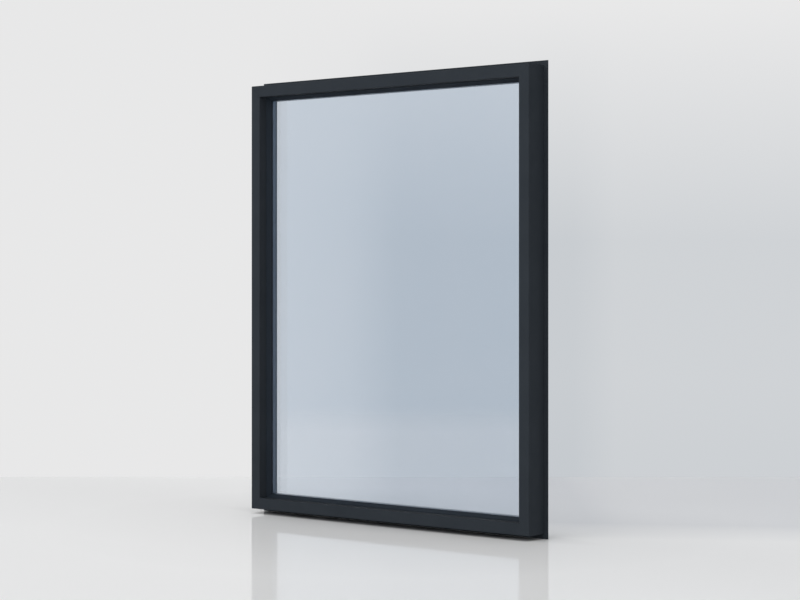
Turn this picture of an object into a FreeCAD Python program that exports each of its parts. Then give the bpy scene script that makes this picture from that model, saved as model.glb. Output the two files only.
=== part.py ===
# Fixed picture window: extruded two-shell frame with a rear flange, snap-in beads and a sealed double unit

import FreeCAD
import Part
import Sketcher
import math
import os

# Sizes in millimetres, one name for each size that can be set
SIZES = [
    ("frame_width", "1219.2"),
    ("frame_height", "1524.0"),
    ("flange_reach", "16.5"),
    ("flange_thick", "3.0"),
    ("flange_round", "0.8"),
    ("face_width", "40.0"),
    ("face_round", "3.0"),
    ("reveal_round", "1.0"),
    ("shell_wall", "2.0"),
    ("web_thick", "1.6"),
    ("web_setback", "11.0"),
    ("chamber_ease", "2.0"),
    ("reveal_depth", "34.0"),
    ("bead_depth", "19.0"),
    ("bead_rise", "12.7"),
    ("bead_toe", "1.2"),
    ("bead_nose", "1.5"),
    ("bead_round", "0.7"),
    ("bead_wall", "1.4"),
    ("cell_setback", "3.0"),
    ("shadow_gap", "0.6"),
    ("shadow_depth", "1.0"),
    ("clip_inset", "4.5"),
    ("clip_slot", "3.2"),
    ("clip_side", "1.3"),
    ("clip_pocket", "3.2"),
    ("clip_play", "0.15"),
    ("gasket_thick", "2.5"),
    ("gasket_height", "7.0"),
    ("gasket_bevel", "1.0"),
    ("key_inset", "1.8"),
    ("key_height", "2.4"),
    ("key_depth", "1.6"),
    ("pane_thick", "4.0"),
    ("cavity_depth", "16.0"),
    ("edge_clearance", "3.0"),
    ("seal_height", "3.0"),
    ("spacer_height", "6.0"),
    ("spacer_wall", "0.6"),
    ("spacer_ease", "1.5"),
    ("block_length", "100.0"),
    ("weather_thick", "2.0"),
    ("lip_thick", "2.0"),
    ("lip_drop", "0.5"),
    ("outer_flat", "30.0"),
    ("weep_length", "30.0"),
    ("weep_height", "5.0"),
    ("weep_rise", "9.0"),
    ("weep_inset", "240.0"),
    ("split_offset", "1.0"),
    ("strip_recess", "0.3"),
    ("strip_body", "3.7"),
    ("strip_claw", "1.8"),
    ("strip_hook", "0.8"),
    ("strip_neck", "1.2"),
    ("strip_head", "3.0"),
    ("mitre_spare", "6.0"),
]

# Stations across the section, from the flange edge inwards
ACROSS = [
    ("box_out", "flange_reach"),
    ("floor_in", "box_out + face_width"),
    ("sight_in", "floor_in + bead_rise"),
    ("wall_out", "box_out + shell_wall"),
    ("wall_in", "floor_in - shell_wall"),
    ("ease_out", "wall_out + chamber_ease"),
    ("claw_out", "box_out + strip_claw"),
    ("band_out", "box_out + strip_recess"),
    ("neck_out", "band_out + strip_body"),
    ("hook_out", "neck_out + strip_hook"),
    ("step_out", "hook_out + shell_wall"),
    ("claw_in", "floor_in - strip_claw"),
    ("band_in", "floor_in - strip_recess"),
    ("neck_in", "band_in - strip_body"),
    ("hook_in", "neck_in - strip_hook"),
    ("step_in", "hook_in - shell_wall"),
    ("pocket_floor", "wall_in - clip_pocket"),
    ("pocket_wall", "pocket_floor - shell_wall"),
    ("shadow_in", "floor_in + shadow_gap"),
    ("toe_in", "shadow_in + bead_toe"),
    ("hook_top", "wall_in - clip_play"),
    ("foot_end", "pocket_floor + clip_play"),
    ("gasket_low", "sight_in - gasket_height"),
    ("gasket_tip", "sight_in - gasket_bevel"),
    ("key_low", "gasket_low + key_inset"),
    ("key_high", "key_low + key_height"),
    ("flat_in", "box_out + outer_flat"),
    ("seal_low", "floor_in + edge_clearance"),
    ("spacer_low", "seal_low + seal_height"),
    ("spacer_high", "spacer_low + spacer_height"),
    ("shoulder", "spacer_low + spacer_ease"),
    ("bore_low", "spacer_low + spacer_wall"),
    ("bore_high", "spacer_high - spacer_wall"),
    ("bore_shoulder", "shoulder + spacer_wall * tan(22.5 deg)"),
    ("weep_middle", "box_out + weep_rise"),
]

# Stations along the depth, from the front face to the rear
DEEP = [
    ("web_front", "reveal_depth - web_setback"),
    ("web_back", "web_front + web_thick"),
    ("ease_front", "shell_wall + chamber_ease"),
    ("shadow_back", "reveal_depth + shadow_depth"),
    ("slot_front", "reveal_depth + clip_inset"),
    ("slot_back", "slot_front + clip_slot"),
    ("pocket_front", "slot_front - clip_side"),
    ("pocket_back", "slot_back + clip_side"),
    ("pocket_wall_front", "pocket_front - shell_wall"),
    ("pocket_wall_back", "pocket_back + shell_wall"),
    ("foot_front", "slot_front + clip_play"),
    ("foot_back", "slot_back - clip_play"),
    ("hook_front", "pocket_front + clip_play"),
    ("bead_back", "reveal_depth + bead_depth"),
    ("nose_front", "bead_back - bead_nose"),
    ("key_front", "bead_back - key_depth"),
    ("glass_front", "bead_back + gasket_thick"),
    ("cavity_front", "glass_front + pane_thick"),
    ("cavity_back", "cavity_front + cavity_depth"),
    ("glass_back", "cavity_back + pane_thick"),
    ("lip_front", "glass_back + weather_thick"),
    ("key_back", "lip_front + key_depth"),
    ("lip_rear", "lip_front + lip_thick"),
    ("box_depth", "lip_rear + lip_drop"),
    ("rear_face", "box_depth + flange_thick"),
    ("rear_wall", "rear_face - shell_wall"),
    ("room_end", "glass_front + split_offset"),
    ("room_neck", "room_end - strip_neck"),
    ("room_head", "room_end - strip_head"),
    ("room_claw", "room_head - shell_wall"),
    ("room_wall", "room_end - shell_wall"),
    ("weather_end", "cavity_back"),
    ("weather_neck", "weather_end + strip_neck"),
    ("weather_head", "weather_end + strip_head"),
    ("weather_claw", "weather_head + shell_wall"),
    ("weather_wall", "weather_end + shell_wall"),
    ("spacer_front", "cavity_front + spacer_ease"),
    ("spacer_back", "cavity_back - spacer_ease"),
    ("bore_front", "cavity_front + spacer_wall"),
    ("bore_back", "cavity_back - spacer_wall"),
    ("bore_front_in", "spacer_front + spacer_wall * tan(22.5 deg)"),
    ("bore_back_in", "spacer_back - spacer_wall * tan(22.5 deg)"),
    ("cell_front", "reveal_depth + cell_setback"),
    ("cell_back", "key_front - bead_wall"),
]

# Stations that follow the two sloped faces, with the wall measured square to the slope
SLOPED = [
    ("lip_slope", "(rear_face - lip_rear) / (sight_in - flat_in)"),
    ("lip_skin", "shell_wall * sqrt(1 + lip_slope * lip_slope)"),
    ("slope_wall", "rear_face - lip_slope * (wall_in - flat_in) - lip_skin"),
    ("bead_slope", "(sight_in - toe_in) / (nose_front - reveal_depth)"),
    ("bead_skin", "bead_wall * sqrt(1 + bead_slope * bead_slope)"),
    ("cell_floor", "floor_in + bead_wall"),
    ("cell_low", "toe_in - bead_skin + bead_slope * (cell_front - reveal_depth)"),
    ("cell_high", "toe_in - bead_skin + bead_slope * (cell_back - reveal_depth)"),
]

# Lengths of the members, where their mitres and drain slots lie, and the reference lines of the window
ALONG = [
    ("wide_length", "frame_width + 2 * flange_reach"),
    ("tall_length", "frame_height + 2 * flange_reach"),
    ("mitre_reach", "sight_in + mitre_spare"),
    ("wide_mitre", "wide_length - mitre_reach"),
    ("tall_mitre", "tall_length - mitre_reach"),
    ("half_wide", "wide_length / 2"),
    ("bottom_line", "-flange_reach / 2"),
    ("top_line", "tall_length + bottom_line"),
    ("glass_wide", "wide_length - 2 * seal_low"),
    ("glass_tall", "tall_length - 2 * seal_low"),
    ("quarter_wide", "glass_wide / 4"),
    ("weep_radius", "weep_height / 2"),
    ("weep_near", "weep_inset + weep_radius"),
    ("weep_near_end", "weep_inset + weep_length - weep_radius"),
    ("weep_far", "wide_length - weep_near_end"),
    ("weep_far_end", "wide_length - weep_near"),
]


def strip_seat(edge, shell):
    """Hooked groove that grips a strip at one end of a shell, from the outer corner of its mouth."""
    claw, hook, neck = "claw_" + edge, "hook_" + edge, "neck_" + edge
    mouth, head, throat = shell + "_end", shell + "_head", shell + "_neck"
    return [(claw, mouth), (claw, head), (hook, head), (hook, throat), (neck, throat), (neck, mouth)]


def gasket_key(face, floor):
    """Rectangular key of a gasket and the groove it fills, from the low side."""
    return [("key_low", face), ("key_low", floor), ("key_high", floor), ("key_high", face)]


def strip_section(edge):
    """Strip with a hooked head in each shell and a band that lies almost flush with the frame."""
    room = [point for point in strip_seat(edge, "room") if point != ("neck_" + edge, "room_end")]
    weather = [point for point in strip_seat(edge, "weather") if point != ("neck_" + edge, "weather_end")]
    band = "band_" + edge
    return [[(band, "room_end")] + room + weather[::-1] + [(band, "weather_end")]]


def gasket_section(face, glass, key):
    """Gasket that fills the gap from its carrier to the glass, bevelled at the sight line."""
    return [[("gasket_low", face)] + key + [("sight_in", face), ("gasket_tip", glass), ("gasket_low", glass)]]


BEAD_KEY = gasket_key("bead_back", "key_front")
LIP_KEY = gasket_key("lip_front", "key_back")

CLIP_GROOVE = [
    ("floor_in", "slot_front"), ("wall_in", "slot_front"), ("wall_in", "pocket_front"),
    ("pocket_floor", "pocket_front"), ("pocket_floor", "pocket_back"), ("wall_in", "pocket_back"),
    ("wall_in", "slot_back"), ("floor_in", "slot_back"),
]
CLIP_FOOT = [
    ("floor_in", "foot_back"), ("foot_end", "foot_back"), ("foot_end", "hook_front"),
    ("hook_top", "hook_front"), ("hook_top", "foot_front"), ("floor_in", "foot_front"),
]

# Sections: the outline first, then the hollows
ROOM_SHELL = [
    [("box_out", None), ("floor_in", None)] + CLIP_GROOVE + [("floor_in", "room_end")]
    + strip_seat("in", "room") + strip_seat("out", "room")[::-1] + [("box_out", "room_end")],
    [
        ("ease_out", "shell_wall"), ("wall_in", "shell_wall"), ("wall_in", "web_front"),
        ("wall_out", "web_front"), ("wall_out", "ease_front"),
    ],
    [
        ("wall_out", "web_back"), ("wall_in", "web_back"), ("wall_in", "pocket_wall_front"),
        ("pocket_wall", "pocket_wall_front"), ("pocket_wall", "pocket_wall_back"),
        ("wall_in", "pocket_wall_back"), ("wall_in", "room_claw"), ("step_in", "room_claw"),
        ("step_in", "room_wall"), ("step_out", "room_wall"), ("step_out", "room_claw"),
        ("wall_out", "room_claw"),
    ],
]
WEATHER_SHELL = [
    [(None, "box_depth"), (None, "rear_face"), ("flat_in", "rear_face")]
    + [("sight_in", "lip_rear"), ("sight_in", "lip_front")] + LIP_KEY[::-1]
    + [("floor_in", "lip_front"), ("floor_in", "weather_end")]
    + strip_seat("in", "weather") + strip_seat("out", "weather")[::-1]
    + [("box_out", "weather_end"), ("box_out", "box_depth")],
    [
        ("wall_out", "weather_claw"), ("step_out", "weather_claw"), ("step_out", "weather_wall"),
        ("step_in", "weather_wall"), ("step_in", "weather_claw"), ("wall_in", "weather_claw"),
        ("wall_in", "slope_wall"), ("flat_in", "rear_wall"), ("wall_out", "rear_wall"),
    ],
]
BEAD = [
    [
        ("floor_in", "shadow_back"), ("shadow_in", "shadow_back"), ("shadow_in", "reveal_depth"),
        ("toe_in", "reveal_depth"), ("sight_in", "nose_front"), ("sight_in", "bead_back"),
    ] + BEAD_KEY[::-1] + [("floor_in", "bead_back")] + CLIP_FOOT,
    [
        ("cell_floor", "cell_front"), ("cell_low", "cell_front"), ("cell_high", "cell_back"),
        ("cell_floor", "cell_back"),
    ],
]
SPACER = [
    [
        ("shoulder", "cavity_front"), ("spacer_high", "cavity_front"), ("spacer_high", "cavity_back"),
        ("shoulder", "cavity_back"), ("spacer_low", "spacer_back"), ("spacer_low", "spacer_front"),
    ],
    [
        ("bore_shoulder", "bore_front"), ("bore_high", "bore_front"), ("bore_high", "bore_back"),
        ("bore_shoulder", "bore_back"), ("bore_low", "bore_back_in"), ("bore_low", "bore_front_in"),
    ],
]
EDGE_SEAL = [
    [
        ("seal_low", "cavity_front"), ("shoulder", "cavity_front"), ("spacer_low", "spacer_front"),
        ("spacer_low", "spacer_back"), ("shoulder", "cavity_back"), ("seal_low", "cavity_back"),
    ],
]
BEAD_GASKET = gasket_section("bead_back", "glass_front", BEAD_KEY)
LIP_GASKET = gasket_section("lip_front", "glass_back", LIP_KEY)

# Pieces that run round the window, each with the corners of its section that are rounded
FAMILIES = [
    ("room_frame", ROOM_SHELL, [("face_round", [("box_out", None)]), ("reveal_round", [("floor_in", None)])]),
    ("flange_frame", WEATHER_SHELL, [
        ("flange_round", [(None, "box_depth"), (None, "rear_face"), ("sight_in", "lip_rear")]),
    ]),
    ("outer_strip", strip_section("out"), []),
    ("inner_strip", strip_section("in"), []),
    ("bead", BEAD, [("bead_round", [("toe_in", "reveal_depth"), ("sight_in", "nose_front")])]),
    ("bead_gasket", BEAD_GASKET, []),
    ("weather_gasket", LIP_GASKET, []),
    ("spacer", SPACER, []),
    ("edge_seal", EDGE_SEAL, []),
]

# Sides of the window: turn about the depth axis, length and mitre stations, and the corner where each starts
SIDES = [
    ("left", 0, "tall_length", "tall_mitre", "-Dims.half_wide", "Dims.bottom_line"),
    ("head", 90, "wide_length", "wide_mitre", "-Dims.half_wide", "Dims.top_line"),
    ("right", 180, "tall_length", "tall_mitre", "Dims.half_wide", "Dims.top_line"),
    ("sill", 270, "wide_length", "wide_mitre", "Dims.half_wide", "Dims.bottom_line"),
]

# How near a point is to be taken as the same, in mm, and the least a cut takes away, in mm3
NEAR = 0.001
LEAST_CUT = 1.0

doc = FreeCAD.newDocument("picture_window")
sheet = doc.addObject("Spreadsheet::Sheet", "Dims")


def fill_sheet(entries, first_row, lead):
    """Names and values of one group of entries, one to a row. Returns the next free row."""
    for count, (alias, text) in enumerate(entries):
        cell = "B" + str(first_row + count)
        sheet.set("A" + str(first_row + count), alias)
        sheet.set(cell, lead + text)
        sheet.setAlias(cell, alias)
    return first_row + len(entries)


next_row = fill_sheet(SIZES, 1, "")
for stations in (ACROSS, DEEP, SLOPED, ALONG):
    next_row = fill_sheet(stations, next_row, "=")
doc.recompute()


def size(station):
    """Value of a station, with None for the line through the origin."""
    if station is None:
        return 0.0
    return float(sheet.get(station))


def plane(body, role):
    """Origin plane of a body, found by its role."""
    for feature in body.Origin.OriginFeatures:
        if feature.Role == role:
            return feature
    raise ValueError("no plane " + role)


def new_sketch(body, name, role):
    """Sketch laid on one of the body's own planes."""
    sketch = body.newObject("Sketcher::SketchObject", name)
    sketch.AttachmentSupport = [(plane(body, role), "")]
    sketch.MapMode = "FlatFace"
    return sketch


def tie(sketch, kind, geometry, point, station):
    """Distance of a point from the origin along one axis, tied to a station."""
    index = sketch.addConstraint(Sketcher.Constraint(kind, -1, 1, geometry, point, size(station)))
    if station is not None:
        sketch.setExpression("Constraints[" + str(index) + "]", "Dims." + station)


def add_loop(sketch, corners):
    """Closed straight-sided outline with its corners at stations."""
    first = sketch.GeometryCount
    count = len(corners)
    places = [FreeCAD.Vector(size(across), size(deep), 0) for across, deep in corners]
    for i in range(count):
        sketch.addGeometry(Part.LineSegment(places[i], places[(i + 1) % count]), False)
    for i in range(count):
        sketch.addConstraint(Sketcher.Constraint("Coincident", first + i, 2, first + (i + 1) % count, 1))
    for i, (across, deep) in enumerate(corners):
        tie(sketch, "DistanceX", first + i, 1, across)
        tie(sketch, "DistanceY", first + i, 1, deep)


def add_slot(sketch, across, start, end, radius):
    """Round-ended slot that runs along the member between two centres."""
    low = FreeCAD.Vector(size(across), size(start), 0)
    high = FreeCAD.Vector(size(across), size(end), 0)
    side = FreeCAD.Vector(size(radius), 0, 0)
    up = FreeCAD.Vector(0, 0, 1)
    first = sketch.GeometryCount
    sketch.addGeometry(Part.ArcOfCircle(Part.Circle(low, up, size(radius)), math.pi, 2 * math.pi), False)
    sketch.addGeometry(Part.LineSegment(low + side, high + side), False)
    sketch.addGeometry(Part.ArcOfCircle(Part.Circle(high, up, size(radius)), 0, math.pi), False)
    sketch.addGeometry(Part.LineSegment(high - side, low - side), False)
    for i in range(4):
        sketch.addConstraint(Sketcher.Constraint("Tangent", first + i, 2, first + (i + 1) % 4, 1))
    sketch.addConstraint(Sketcher.Constraint("Equal", first, first + 2))
    index = sketch.addConstraint(Sketcher.Constraint("Radius", first, size(radius)))
    sketch.setExpression("Constraints[" + str(index) + "]", "Dims." + radius)
    for geometry, along in ((first, start), (first + 2, end)):
        tie(sketch, "DistanceX", geometry, 3, across)
        tie(sketch, "DistanceY", geometry, 3, along)


def edge_names(shape, corners):
    """Names of the edges that run along the extrusion at the given corners of its section."""
    names = []
    for number, edge in enumerate(shape.Edges):
        ends = [vertex.Point for vertex in edge.Vertexes]
        for across, deep in corners:
            near = [math.hypot(p.x - size(across), p.y - size(deep)) < NEAR for p in ends]
            if len(ends) == 2 and all(near):
                names.append("Edge" + str(number + 1))
    return names


def add_cut(body, sketch, name, depth):
    """Pocket of a sketch, through the whole body where no depth is given. It has to take material away."""
    before = body.Shape.Volume
    cut = body.newObject("PartDesign::Pocket", name)
    cut.Profile = sketch
    if depth is None:
        cut.Type = "ThroughAll"
        cut.Midplane = True
    else:
        cut.setExpression("Length", depth)
        cut.Reversed = True
    doc.recompute()
    if body.Shape.Volume > before - LEAST_CUT:
        raise ValueError("nothing cut by " + name)


def add_member(family, loops, rounds, side, turn, length, mitre, start_x, start_z):
    """One mitred length of a section, turned to its side of the window."""
    name = family + "_" + side
    body = doc.addObject("PartDesign::Body", name)
    section = new_sketch(body, name + "_section", "XY_Plane")
    for corners in loops:
        add_loop(section, corners)
    pad = body.newObject("PartDesign::Pad", name + "_extrusion")
    pad.Profile = section
    pad.setExpression("Length", "Dims." + length)
    doc.recompute()
    for radius, corners in rounds:
        base = body.Tip
        fillet = body.newObject("PartDesign::Fillet", name + "_" + radius)
        fillet.Base = (base, edge_names(base.Shape, corners))
        fillet.setExpression("Radius", "Dims." + radius)
        doc.recompute()
    ends = new_sketch(body, name + "_mitre_lines", "XZ_Plane")
    add_loop(ends, [(None, None), ("mitre_reach", None), ("mitre_reach", "mitre_reach")])
    add_loop(ends, [(None, length), ("mitre_reach", mitre), ("mitre_reach", length)])
    add_cut(body, ends, name + "_mitres", None)
    turned = FreeCAD.Rotation(FreeCAD.Vector(0, 1, 0), turn)
    body.Placement = FreeCAD.Placement(FreeCAD.Vector(0, 0, 0), turned)
    body.setExpression("Placement.Base.x", start_x)
    body.setExpression("Placement.Base.y", "-Dims.box_depth")
    body.setExpression("Placement.Base.z", start_z)
    return body


def add_weeps(body):
    """Two drain slots through the rear wall of the sill."""
    slots = new_sketch(body, "weep_lines", "XZ_Plane")
    slots.setExpression("AttachmentOffset.Base.z", "-Dims.rear_face")
    add_slot(slots, "weep_middle", "weep_near", "weep_near_end", "weep_radius")
    add_slot(slots, "weep_middle", "weep_far", "weep_far_end", "weep_radius")
    add_cut(body, slots, "weep_slots", "Dims.rear_face - Dims.weather_claw")


def add_block(name, wide, deep, tall, start_x, start_y, start_z):
    """Plain rectangular piece, with its sizes and its low corner given as expressions."""
    block = doc.addObject("Part::Box", name)
    block.setExpression("Length", wide)
    block.setExpression("Width", deep)
    block.setExpression("Height", tall)
    block.setExpression("Placement.Base.x", start_x)
    block.setExpression("Placement.Base.y", start_y + " - Dims.box_depth")
    block.setExpression("Placement.Base.z", start_z + " + Dims.bottom_line")
    return block


pieces = []
for family, loops, rounds in FAMILIES:
    for side, turn, length, mitre, start_x, start_z in SIDES:
        member = add_member(family, loops, rounds, side, turn, length, mitre, start_x, start_z)
        if (family, side) == ("flange_frame", "sill"):
            add_weeps(member)
        pieces.append(member)
for name, front in (("pane_room", "Dims.glass_front"), ("pane_weather", "Dims.cavity_back")):
    pieces.append(add_block(
        name, "Dims.glass_wide", "Dims.pane_thick", "Dims.glass_tall",
        "-Dims.glass_wide / 2", front, "Dims.seal_low",
    ))
for side, middle in (("left", "-Dims.quarter_wide"), ("right", "Dims.quarter_wide")):
    pieces.append(add_block(
        "setting_block_" + side,
        "Dims.block_length", "Dims.glass_back - Dims.glass_front", "Dims.edge_clearance",
        middle + " - Dims.block_length / 2", "Dims.glass_front", "Dims.floor_in",
    ))
doc.recompute()

# Check every object, then write one file for each piece
for thing in doc.Objects:
    if "Invalid" in thing.State or "Error" in thing.State:
        raise ValueError("bad object " + thing.Name)
os.makedirs("parts", exist_ok=True)
for piece in pieces:
    if piece.Shape.isNull() or not piece.Shape.isValid():
        raise ValueError("bad shape " + piece.Label)
    if len(piece.Shape.Solids) != 1:
        raise ValueError("not one solid " + piece.Label)
for piece in pieces:
    piece.Shape.exportStep("parts/" + piece.Label + ".step")
    print(piece.Label, round(piece.Shape.Volume / 1000.0, 2), "cm3")
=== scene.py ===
import math
import bpy
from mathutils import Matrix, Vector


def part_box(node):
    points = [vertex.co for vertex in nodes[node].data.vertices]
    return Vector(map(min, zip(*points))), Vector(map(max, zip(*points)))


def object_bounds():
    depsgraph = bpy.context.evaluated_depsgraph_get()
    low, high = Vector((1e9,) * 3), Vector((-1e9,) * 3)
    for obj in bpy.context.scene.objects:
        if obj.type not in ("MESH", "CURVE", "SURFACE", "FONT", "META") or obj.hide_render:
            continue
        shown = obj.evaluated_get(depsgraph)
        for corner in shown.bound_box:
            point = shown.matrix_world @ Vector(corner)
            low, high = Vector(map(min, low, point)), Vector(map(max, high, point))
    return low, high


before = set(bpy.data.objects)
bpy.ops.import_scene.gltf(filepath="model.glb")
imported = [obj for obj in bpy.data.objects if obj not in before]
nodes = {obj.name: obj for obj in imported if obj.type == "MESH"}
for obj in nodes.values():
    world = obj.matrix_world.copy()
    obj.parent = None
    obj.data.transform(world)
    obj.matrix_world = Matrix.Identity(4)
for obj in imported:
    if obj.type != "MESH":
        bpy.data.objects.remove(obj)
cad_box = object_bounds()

# Materials, stage, light and camera for a fixed picture window. Every visible surface of it is a CAD node.
# Lengths are in metres in the part's frame: X to the right, Y to the weather side, Z up. Colours are linear.

scene = bpy.context.scene
scene.view_settings.view_transform = "Standard"

NONE, FULL = 0.0, 1.0

# Places on the model
FLOOR_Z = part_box("flange_frame_sill")[0][2]
MIDDLE = tuple((low + high) / 2 for low, high in zip(*cad_box))
MITRE_START = (cad_box[1][2] - cad_box[0][2] - cad_box[1][0] + cad_box[0][0]) / 2
MITRE_HAIR = 0.00022
HEIGHT_LESS_WIDTH = (-1.0, 0.0, 1.0)

# Grain drawn out along Z on the jambs, along X on head and sill, and a little along X in the glass
UPRIGHT = (1.0, 1.0, 0.02)
LEVEL = (0.02, 1.0, 1.0)
ROLLED = (0.25, 1.0, 1.0)
SIDES = {"upright": (UPRIGHT, ("left", "right")), "level": (LEVEL, ("head", "sill"))}

# Colours of the part, a darker and a lighter one for each finish
PAINT = (0.0217, 0.0265, 0.0327), (0.0268, 0.0323, 0.0392)
# The beads' paint is the frame's paint made darker: a painted shade on the beads set deep in the frame
SHADED_BEAD_PAINT = (0.0160, 0.0215, 0.0297), (0.0196, 0.0260, 0.0345)
SEAM = (0.008, 0.009, 0.010)
BLACK_RUBBER = (0.010, 0.010, 0.011), (0.016, 0.016, 0.017)
GREY_RUBBER = (0.125, 0.150, 0.175), (0.160, 0.190, 0.220)
SEAL_RUBBER = (0.014, 0.014, 0.015), (0.022, 0.022, 0.023)
ANODISED = (0.18, 0.21, 0.255), (0.235, 0.268, 0.312)
TINT = (0.862, 0.897, 0.938), (0.872, 0.903, 0.942)
COAT_SPECULAR = 0.08
RUBBER_SPECULAR = 0.3
GLASS_IOR = 1.5

# Camera of the photograph
YAW = math.radians(38.684)
FACING = (math.radians(90), 0, YAW)
EYE = (4.180227, -5.207371, 0.843076)
SENSOR_MM = 36.0
LENS_MM = 87.134
LENS_SHIFT = -0.02837

# Directions on the floor: across the picture, and away from the camera with a slight turn
FLOOR_TURN = 0.15
ACROSS = (math.cos(YAW), math.sin(YAW), 0)
AWAY = (FLOOR_TURN * ACROSS[0] - ACROSS[1], FLOOR_TURN * ACROSS[1] + ACROSS[0], 0)
ALONG_X = (1.0, 0.0, 0.0)
ALONG_Y = (0.0, 1.0, 0.0)

# Floor: rows of (distance, painted shade), its two colours, the painted shadow under the box, and a weak painted
# glow away from it
FLOOR_REACH = 7.0
FLOOR_GAP = 0.0002
# Painted shade on the floor: a soft painted shadow, darker to the right and towards the back
FLOOR_SHADE = [
    (-0.62, 0.0), (-0.21, 0.26), (0.0, 0.67), (0.30, 0.66), (0.53, 0.76), (0.60, 0.77),
    (0.68, 0.79), (0.80, 0.63), (0.90, 0.58), (1.15, 0.58), (1.45, 0.62),
]
FLOOR_FALL = [(-0.265, 0.0), (-0.015, 0.47), (0.135, 0.87), (0.855, 0.92), (1.585, 0.97)]
FLOOR_COLOURS = (0.96, 0.96, 0.96), (0.546, 0.569, 0.622)
# Painted shadow: the floor's colour in the dark strip under the box
PAINTED_SHADOW_UNDER_BOX = (0.30, 0.30, 0.31)
UNDER_MIDDLE = (0.0, -0.042, 0.0)
UNDER_ENDS = (0.585, 0.615)
UNDER_EDGES = (0.028, 0.056)
FOOT_STRETCH = (0.15, 1.0, 0.0)
FOOT_GLOW = [(0.0, 0.0), (0.085, 0.0), (0.125, 0.10), (0.90, 0.15)]
WHITE = (1.0, 1.0, 1.0, 1.0)
MIRROR_SHARE = (0.36, 0.25)
MIRROR_RING = (0.4, 1.2)
FADE_RING = (4.0, 6.2)

# Backdrop: its place, rows of (distance, painted shade) across and up, and its two colours
BACK_SIZE = (-9, -1, 9, 7)
BACK_PLACE = (-0.984, 1.228, 0.0)
# Painted shade on the backdrop: darkest just right of the object, and darker lower down
WALL_SHADE = [
    (-0.62, 0.0), (-0.21, 0.36), (0.0, 0.80), (0.15, 0.83), (0.50, 0.83), (0.60, 1.0), (0.75, 1.0), (0.93, 0.80),
]
WALL_FALL = [(0.0, 1.0), (0.10, 0.985), (0.40, 0.91), (1.0, 0.91), (2.0, 0.0)]
WALL_COLOURS = (0.807, 0.807, 0.81), (0.5600, 0.5890, 0.6200)

# World: light on surfaces, what shows past the stage, and what the glass mirrors low and high
SOFT_COLOUR = (0.98, 0.99, 1.0)
SOFT_LEVEL = 0.42
SEEN_COLOUR = (0.80, 0.80, 0.81)
ROOM_LOW = (0.32, 0.43, 0.53)
ROOM_RISE = (0.05, 0.40)


# Node helpers

def cleared(block, output):
    """Node tree of a material or world, with nothing but its output's surface socket."""
    block.use_nodes = True
    tree = block.node_tree
    tree.nodes.clear()
    return tree, tree.nodes.new(output).inputs["Surface"]


def new_material(name):
    """Node material with a shader joined to its output."""
    material = bpy.data.materials.new(name)
    tree, surface = cleared(material, "ShaderNodeOutputMaterial")
    shader = tree.nodes.new("ShaderNodeBsdfPrincipled")
    tree.links.new(shader.outputs["BSDF"], surface)
    return material, tree, shader


def finished(tree, shader, colour, roughness, normal, even):
    """Join a shader's colour, roughness and normal, and set the values that are even all over."""
    tree.links.new(colour, shader.inputs["Base Color"])
    tree.links.new(roughness, shader.inputs["Roughness"])
    tree.links.new(normal, shader.inputs["Normal"])
    for socket, value in even.items():
        shader.inputs[socket].default_value = value


def place(tree, stretch=(1.0, 1.0, 1.0), shift=(0.0, 0.0, 0.0)):
    """Place on the object in metres, drawn out along a direction where a factor is small."""
    source = tree.nodes.new("ShaderNodeTexCoord")
    mapping = tree.nodes.new("ShaderNodeMapping")
    mapping.inputs["Location"].default_value = shift
    mapping.inputs["Scale"].default_value = stretch
    tree.links.new(source.outputs["Object"], mapping.inputs["Vector"])
    return mapping.outputs["Vector"]


def noise(tree, vector, grains, detail=2.0, rough=0.5):
    """Noise value with a number of grains to the metre."""
    node = tree.nodes.new("ShaderNodeTexNoise")
    node.inputs["Scale"].default_value = grains
    node.inputs["Detail"].default_value = detail
    node.inputs["Roughness"].default_value = rough
    tree.links.new(vector, node.inputs["Vector"])
    return node.outputs["Fac"]


def spread(tree, value, low, high, from_low=0.3, from_high=0.7):
    """Value mapped to a range."""
    node = tree.nodes.new("ShaderNodeMapRange")
    node.inputs["From Min"].default_value = from_low
    node.inputs["From Max"].default_value = from_high
    node.inputs["To Min"].default_value = low
    node.inputs["To Max"].default_value = high
    tree.links.new(value, node.inputs["Value"])
    return node.outputs["Result"]


def blend(tree, value, colours, low=0.3, high=0.7):
    """Colour between two, by a value."""
    node = tree.nodes.new("ShaderNodeValToRGB")
    for stop, position, colour in zip(node.color_ramp.elements, (low, high), colours):
        stop.position = position
        stop.color = (*colour, 1.0)
    tree.links.new(value, node.inputs["Fac"])
    return node.outputs["Color"]


def shading(tree, distance, stops):
    """Grey read off a row of stops along a distance."""
    low, high = stops[0][0], stops[-1][0]
    node = tree.nodes.new("ShaderNodeValToRGB")
    row = node.color_ramp.elements
    for index, (at, grey) in enumerate(stops):
        stop = row[index] if index < 2 else row.new(1.0)
        stop.position = (at - low) / (high - low)
        stop.color = (grey, grey, grey, 1.0)
    tree.links.new(spread(tree, distance, NONE, FULL, low, high), node.inputs["Fac"])
    return node.outputs["Color"]


def mixed(tree, value, colour, even):
    """Linked colour, and an even one where the value is full."""
    node = tree.nodes.new("ShaderNodeMix")
    node.data_type = "RGBA"
    tree.links.new(value, node.inputs["Factor"])
    tree.links.new(colour, node.inputs["A"])
    node.inputs["B"].default_value = (*even, 1.0)
    return node.outputs["Result"]


def mix_shaders(tree, value, first, second):
    """Shader between two, by a value."""
    node = tree.nodes.new("ShaderNodeMixShader")
    tree.links.new(value, node.inputs["Fac"])
    tree.links.new(first, node.inputs[1])
    tree.links.new(second, node.inputs[2])
    return node.outputs["Shader"]


def joined(tree, kind, one, other):
    """Two values taken together."""
    node = tree.nodes.new("ShaderNodeMath")
    node.operation = kind
    tree.links.new(one, node.inputs[0])
    tree.links.new(other, node.inputs[1])
    return node.outputs[0]


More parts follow.
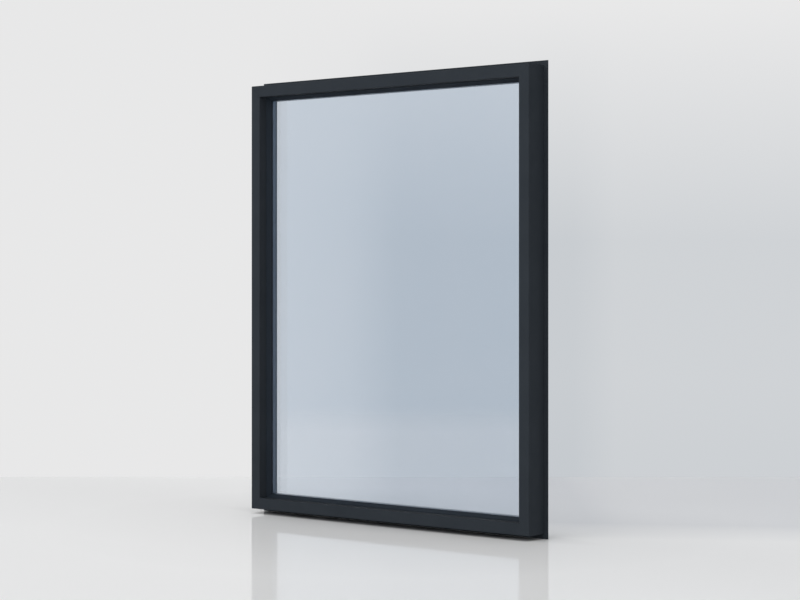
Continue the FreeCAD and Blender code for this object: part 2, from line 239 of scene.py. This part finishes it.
def vector_math(tree, kind, vector):
    """Vector math node fed with a vector."""
    node = tree.nodes.new("ShaderNodeVectorMath")
    node.operation = kind
    tree.links.new(vector, node.inputs[0])
    return node


def along(tree, vector, way):
    """Distance along a direction."""
    node = vector_math(tree, "DOT_PRODUCT", vector)
    node.inputs[1].default_value = way
    return node.outputs["Value"]


def length(tree, vector):
    """Distance from the origin."""
    return vector_math(tree, "LENGTH", vector).outputs["Value"]


def from_middle(tree, middle):
    """Distances from a middle point along the three directions, all positive."""
    centred = place(tree, shift=tuple(-value for value in middle))
    return vector_math(tree, "ABSOLUTE", centred).outputs["Vector"]


def parted(tree, vector):
    """Outputs X, Y and Z of a vector."""
    node = tree.nodes.new("ShaderNodeSeparateXYZ")
    tree.links.new(vector, node.inputs["Vector"])
    return node.outputs


def bump(tree, height, strength, distance, below=None):
    """Normal raised by a height, on top of another where one is given."""
    node = tree.nodes.new("ShaderNodeBump")
    node.inputs["Strength"].default_value = strength
    node.inputs["Distance"].default_value = distance
    tree.links.new(height, node.inputs["Height"])
    if below is not None:
        tree.links.new(below, node.inputs["Normal"])
    return node.outputs["Normal"]


def mitre_line(tree):
    """Full within a hair of the four corner mitres, and none elsewhere."""
    node = tree.nodes.new("ShaderNodeMath")
    node.operation = "COMPARE"
    tree.links.new(along(tree, from_middle(tree, MIDDLE), HEIGHT_LESS_WIDTH), node.inputs[0])
    node.inputs[1].default_value = MITRE_START
    node.inputs[2].default_value = MITRE_HAIR
    return node.outputs[0]


# Materials

def powder_coat(name, stretch, colours):
    """Satin powder coat on an extrusion: fine orange peel, cloudy sheen and faint lines along the length."""
    material, tree, shader = new_material(name)
    still = place(tree)
    cloud = noise(tree, still, grains=7.0, detail=3.0)
    lines = noise(tree, place(tree, stretch), grains=420.0)
    peel = noise(tree, still, grains=620.0, rough=0.6)
    patches = noise(tree, still, grains=22.0, detail=4.0)
    tone = joined(tree, "ADD", spread(tree, cloud, low=0.0, high=0.6), spread(tree, peel, low=0.0, high=0.4))
    drawn = bump(tree, lines, strength=0.05, distance=0.0002)
    finished(
        tree, shader,
        colour=mixed(tree, mitre_line(tree), blend(tree, tone, colours, low=NONE, high=FULL), SEAM),
        roughness=spread(tree, patches, low=0.62, high=0.74),
        normal=bump(tree, peel, strength=0.5, distance=0.0003, below=drawn),
        even={"Specular IOR Level": COAT_SPECULAR},
    )
    return material


def strip_plastic(name, stretch):
    """Coated polyamide strip, duller than the metal beside it, with drawn fibres."""
    material, tree, shader = new_material(name)
    fibres = noise(tree, place(tree, stretch), grains=900.0, detail=3.0, rough=0.6)
    finished(
        tree, shader,
        colour=mixed(tree, mitre_line(tree), blend(tree, fibres, PAINT), SEAM),
        roughness=spread(tree, fibres, low=0.66, high=0.78),
        normal=bump(tree, fibres, strength=0.15, distance=0.0002),
        even={"Specular IOR Level": COAT_SPECULAR},
    )
    return material


def rubber(name, colours, smooth, dull, grains):
    """Matte rubber with a fine grain and a faint bloom, between two roughnesses."""
    material, tree, shader = new_material(name)
    still = place(tree)
    bloom = noise(tree, still, grains=30.0, detail=4.0, rough=0.6)
    skin = noise(tree, still, grains=grains, rough=0.6)
    finished(
        tree, shader,
        colour=blend(tree, bloom, colours),
        roughness=spread(tree, bloom, low=smooth, high=dull),
        normal=bump(tree, skin, strength=0.25, distance=0.0002),
        even={"Specular IOR Level": RUBBER_SPECULAR},
    )
    return material


def spacer_metal(name, stretch):
    """Grey anodised aluminium bar, drawn along its length."""
    material, tree, shader = new_material(name)
    drawn = noise(tree, place(tree, stretch), grains=1500.0, detail=3.0, rough=0.6)
    finished(
        tree, shader,
        colour=blend(tree, drawn, ANODISED),
        roughness=spread(tree, drawn, low=0.32, high=0.46),
        normal=bump(tree, drawn, strength=0.2, distance=0.0001),
        even={"Metallic": FULL},
    )
    return material


def clear_glass(name):
    """Float glass with a pale blue-grey tint, faint roller waves and a trace of film."""
    material, tree, shader = new_material(name)
    waves = noise(tree, place(tree, ROLLED), grains=1.5, detail=0.0)
    film = noise(tree, place(tree), grains=2.5, detail=4.0, rough=0.6)
    finished(
        tree, shader,
        colour=blend(tree, film, TINT),
        roughness=spread(tree, film, low=0.002, high=0.010),
        normal=bump(tree, waves, strength=0.01, distance=0.001),
        even={"Transmission Weight": FULL, "IOR": GLASS_IOR},
    )
    return material


def dress(start, material):
    """Give a material to every CAD node whose name has this start."""
    for name, thing in nodes.items():
        if name.startswith(start):
            thing.data.materials.clear()
            thing.data.materials.append(material)


for way, (stretch, sides) in SIDES.items():
    paint = powder_coat("frame_paint_" + way, stretch, PAINT)
    # The beads take a darker copy of the frame paint, a painted shade
    shaded_bead_paint = powder_coat("shaded_bead_paint_" + way, stretch, SHADED_BEAD_PAINT)
    plastic = strip_plastic("strip_plastic_" + way, stretch)
    metal = spacer_metal("spacer_metal_" + way, stretch)
    for side in sides:
        dress("room_frame_" + side, paint)
        dress("flange_frame_" + side, paint)
        dress("bead_" + side, shaded_bead_paint)
        dress("outer_strip_" + side, plastic)
        dress("inner_strip_" + side, plastic)
        dress("spacer_" + side, metal)

gasket = rubber("gasket_rubber", BLACK_RUBBER, smooth=0.62, dull=0.78, grains=1600.0)
dress("bead_gasket_", gasket)
dress("setting_block_", gasket)
dress("weather_gasket_", rubber("weather_rubber", GREY_RUBBER, smooth=0.60, dull=0.76, grains=1600.0))
dress("edge_seal_", rubber("seal_rubber", SEAL_RUBBER, smooth=0.5, dull=0.62, grains=900.0))
dress("pane_", clear_glass("glass_pane"))

# The panes let the lamps' light and soft light through
for name in ("pane_room", "pane_weather"):
    nodes[name].visible_shadow = False
    nodes[name].visible_diffuse = False


# Stage

def flat_sheet(name, left, near, right, far):
    """Four-cornered sheet that isn't part of the object."""
    mesh = bpy.data.meshes.new(name)
    mesh.from_pydata([(left, near, 0), (right, near, 0), (right, far, 0), (left, far, 0)], [], [(0, 1, 2, 3)])
    sheet = bpy.data.objects.new(name, mesh)
    scene.collection.objects.link(sheet)
    return sheet


# Floor: painted shade towards the right and the back, a painted shadow under the box, with a soft mirror near
# the object
floor = flat_sheet("floor", -FLOOR_REACH, -FLOOR_REACH, FLOOR_REACH, FLOOR_REACH)
floor.location = (0, 0, FLOOR_Z - FLOOR_GAP)
material, tree, shader = new_material("floor_pale")
still = place(tree)
shade = joined(
    tree, "MULTIPLY",
    shading(tree, along(tree, still, ACROSS), FLOOR_SHADE),
    shading(tree, along(tree, still, AWAY), FLOOR_FALL),
)
# Painted shadow: the floor made dark in a strip under the box
apart = from_middle(tree, UNDER_MIDDLE)
painted_shadow_under = joined(
    tree, "MULTIPLY",
    spread(tree, along(tree, apart, ALONG_X), FULL, NONE, *UNDER_ENDS),
    spread(tree, along(tree, apart, ALONG_Y), FULL, NONE, *UNDER_EDGES),
)
open_floor = blend(tree, shade, FLOOR_COLOURS, low=NONE, high=FULL)
tree.links.new(mixed(tree, painted_shadow_under, open_floor, PAINTED_SHADOW_UNDER_BOX), shader.inputs["Base Color"])
shader.inputs["Specular IOR Level"].default_value = NONE

# Painted light: the floor glows, none at the foot of the box; the glow shows straight, mirrored and through
# glass, and lights nothing
shader.inputs["Emission Color"].default_value = WHITE
glow = shading(tree, length(tree, place(tree, FOOT_STRETCH)), FOOT_GLOW)
path = tree.nodes.new("ShaderNodeLightPath").outputs
bent = joined(tree, "MAXIMUM", path["Is Glossy Ray"], path["Is Transmission Ray"])
shown = joined(tree, "MAXIMUM", path["Is Camera Ray"], bent)
tree.links.new(joined(tree, "MULTIPLY", glow, shown), shader.inputs["Emission Strength"])

mirror = tree.nodes.new("ShaderNodeBsdfGlossy")
haze = spread(tree, noise(tree, still, grains=3.0, detail=3.0), low=0.06, high=0.08)
tree.links.new(haze, mirror.inputs["Roughness"])
ring = length(tree, still)
share = spread(tree, ring, *MIRROR_SHARE, *MIRROR_RING)
polished = mix_shaders(tree, share, shader.outputs["BSDF"], mirror.outputs["BSDF"])
clear = tree.nodes.new("ShaderNodeBsdfTransparent").outputs["BSDF"]
faded = mix_shaders(tree, spread(tree, ring, NONE, FULL, *FADE_RING), polished, clear)
tree.links.new(faded, tree.nodes["Material Output"].inputs["Surface"])
floor.data.materials.append(material)

# Backdrop: painted shade behind and beside the object, darker lower down, and clear from behind
back = flat_sheet("backdrop", *BACK_SIZE)
back.location = BACK_PLACE
back.rotation_euler = FACING
back.visible_diffuse = False
back.visible_shadow = False
material = bpy.data.materials.new("backdrop_pale")
tree, surface = cleared(material, "ShaderNodeOutputMaterial")
spot = parted(tree, place(tree))
shade = joined(tree, "MULTIPLY", shading(tree, spot["X"], WALL_SHADE), shading(tree, spot["Y"], WALL_FALL))
wall = tree.nodes.new("ShaderNodeEmission")
tree.links.new(blend(tree, shade, WALL_COLOURS, low=NONE, high=FULL), wall.inputs["Color"])
behind = tree.nodes.new("ShaderNodeNewGeometry").outputs["Backfacing"]
clear = tree.nodes.new("ShaderNodeBsdfTransparent").outputs["BSDF"]
tree.links.new(mix_shaders(tree, behind, wall.outputs["Emission"], clear), surface)
back.data.materials.append(material)


# Light

scene.world = bpy.data.worlds.new("studio")
tree, surface = cleared(scene.world, "ShaderNodeOutputWorld")
soft = tree.nodes.new("ShaderNodeBackground")
soft.inputs["Color"].default_value = (*SOFT_COLOUR, 1.0)
soft.inputs["Strength"].default_value = SOFT_LEVEL
seen = tree.nodes.new("ShaderNodeBackground")
seen.inputs["Color"].default_value = (*SEEN_COLOUR, 1.0)
room = tree.nodes.new("ShaderNodeBackground")
height = parted(tree, tree.nodes.new("ShaderNodeTexCoord").outputs["Generated"])["Z"]
tree.links.new(blend(tree, height, (ROOM_LOW, SEEN_COLOUR), *ROOM_RISE), room.inputs["Color"])

# Straight views show the pale surround, mirrored ones the room, and all that lights a surface is soft
path = tree.nodes.new("ShaderNodeLightPath").outputs
straight = joined(tree, "MAXIMUM", path["Is Camera Ray"], path["Is Transmission Ray"])
inside = joined(tree, "MULTIPLY", path["Is Transmission Ray"], path["Glossy Depth"])
outside = joined(tree, "SUBTRACT", path["Is Glossy Ray"], path["Is Transmission Ray"])
mirrored = joined(tree, "MAXIMUM", outside, inside)
surround = mix_shaders(tree, straight, soft.outputs["Background"], seen.outputs["Background"])
surround = mix_shaders(tree, mirrored, surround, room.outputs["Background"])
surround = mix_shaders(tree, path["Diffuse Depth"], surround, soft.outputs["Background"])
tree.links.new(surround, surface)


def soft_light(name, way, strength, wide):
    """Even light along a direction, from a patch of sky so many degrees wide, not mirrored as a shape."""
    lamp = bpy.data.lights.new(name, "SUN")
    lamp.energy = strength
    lamp.angle = math.radians(wide)
    holder = bpy.data.objects.new(name, lamp)
    flat = math.hypot(way[0], way[1])
    holder.rotation_euler = (math.atan2(flat, -way[2]), 0, math.atan2(-way[0], way[1]))
    holder.visible_glossy = False
    holder.visible_transmission = False
    scene.collection.objects.link(holder)


soft_light("front", way=(0.3, 6.2, -2.0), strength=2.24, wide=75.0)
soft_light("right", way=(-6.0, 1.0, -1.2), strength=0.46, wide=30.0)
soft_light("behind", way=(2.5, -5.5, -1.2), strength=0.45, wide=50.0)


# Camera

lens = bpy.data.cameras.new("camera")
lens.sensor_fit = "HORIZONTAL"
lens.sensor_width = SENSOR_MM
lens.lens = LENS_MM
lens.shift_y = LENS_SHIFT
camera = bpy.data.objects.new("camera", lens)
camera.location = EYE
camera.rotation_euler = FACING
scene.collection.objects.link(camera)
scene.camera = camera
